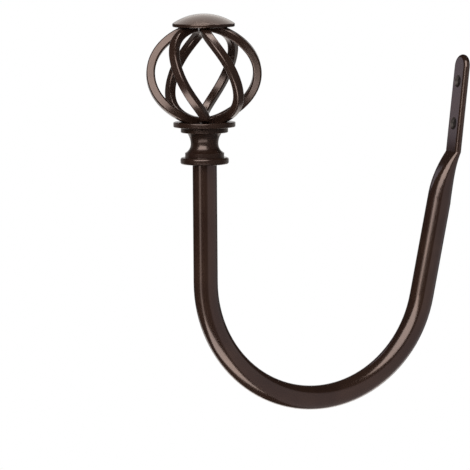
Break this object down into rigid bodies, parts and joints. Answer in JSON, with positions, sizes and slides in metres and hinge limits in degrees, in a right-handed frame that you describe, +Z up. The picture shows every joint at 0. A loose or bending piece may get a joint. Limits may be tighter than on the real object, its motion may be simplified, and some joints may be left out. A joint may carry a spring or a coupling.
{
  "type": "curtain holdback",
  "caption": "U-shaped curtain holdback: a bent steel tube with a flat wall tab at one end and a domed finial of twisted cage bars on a turned neck at the other.",
  "frame": {"origin": "midway between the two screw holes, on the tab's back face, which lies against the wall", "axes": "+Z up along the tab, +Y into the wall, so the room and the finial are on the -Y side; the tube bends in the plane X = 0"},
  "size_m": [0.0598, 0.1808, 0.2019],
  "materials": {
    "bronze_paint": "satin dark oil-rubbed bronze",
    "zinc_plated_steel": "bright zinc plate"
  },
  "bodies": {
    "root": {"holdback_arm": "bronze_paint", "end_plug": "zinc_plated_steel", "finial_stud": "zinc_plated_steel", "finial_neck": "bronze_paint", "cage_bar_1": "bronze_paint", "cage_bar_2": "bronze_paint", "cage_bar_3": "bronze_paint", "cage_bar_4": "bronze_paint", "cage_bar_5": "bronze_paint", "cage_bar_6": "bronze_paint", "finial_cap": "bronze_paint"}
  },
  "joints": []
}
